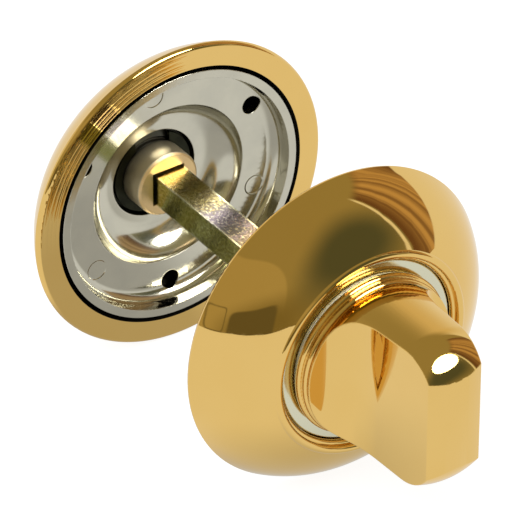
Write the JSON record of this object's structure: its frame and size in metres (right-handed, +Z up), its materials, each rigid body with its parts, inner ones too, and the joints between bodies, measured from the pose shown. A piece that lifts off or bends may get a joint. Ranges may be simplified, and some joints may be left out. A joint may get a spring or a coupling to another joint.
{
  "type": "bathroom thumb turn lock",
  "caption": "Two polished domed round roses joined by a square spindle: a thumb turn with a scooped blade inside, a coin-slot emergency release outside, for a bathroom door.",
  "frame": {"origin": "on the spindle axis, at the door face of the thumb turn's rose", "axes": "+Z up; +Y along the spindle, from the thumb turn through the door to the release; the thumb turn's blade is upright at rest"},
  "size_m": [0.05, 0.0816, 0.05],
  "materials": {
    "polished_gold": "mirror polished gold plating",
    "bright_nickel": "bright nickel plated casting",
    "yellow_zinc": "steel, yellow passivated zinc plating",
    "nylon": "natural nylon",
    "spring_steel": "plain spring steel",
    "black_steel": "black phosphated spring steel"
  },
  "bodies": {
    "turn_rose": {"turn_cover": "polished_gold", "turn_base_plate": "bright_nickel", "turn_thrust_washer": "nylon", "turn_spring_washer": "spring_steel"},
    "knob": {"turn_knob": "polished_gold", "turn_circlip": "black_steel"},
    "release_rose": {"release_cover": "polished_gold", "release_base_plate": "bright_nickel", "release_thrust_washer": "nylon", "release_spring_washer": "spring_steel"},
    "release_rotor": {"release_button": "polished_gold", "release_circlip": "black_steel", "spindle": "yellow_zinc"}
  },
  "joints": [
    {"name": "knob_turn", "type": "hinge", "parent": "turn_rose", "child": "knob", "pos_m": [0, 0, 0], "axis": [0, 1, 0], "range_deg": [0, 90]},
    {"name": "release_slide", "type": "slide", "parent": "turn_rose", "child": "release_rose", "axis": [0, 1, 0], "range_m": [-0.004, 0.008]},
    {"name": "release_turn", "type": "hinge", "parent": "release_rose", "child": "release_rotor", "pos_m": [0, 0.038, 0], "axis": [0, 1, 0], "range_deg": [0, 90]}
  ],
  "couplings": [
    {"joint": "release_turn", "follows": "knob_turn", "ratio": 1}
  ]
}
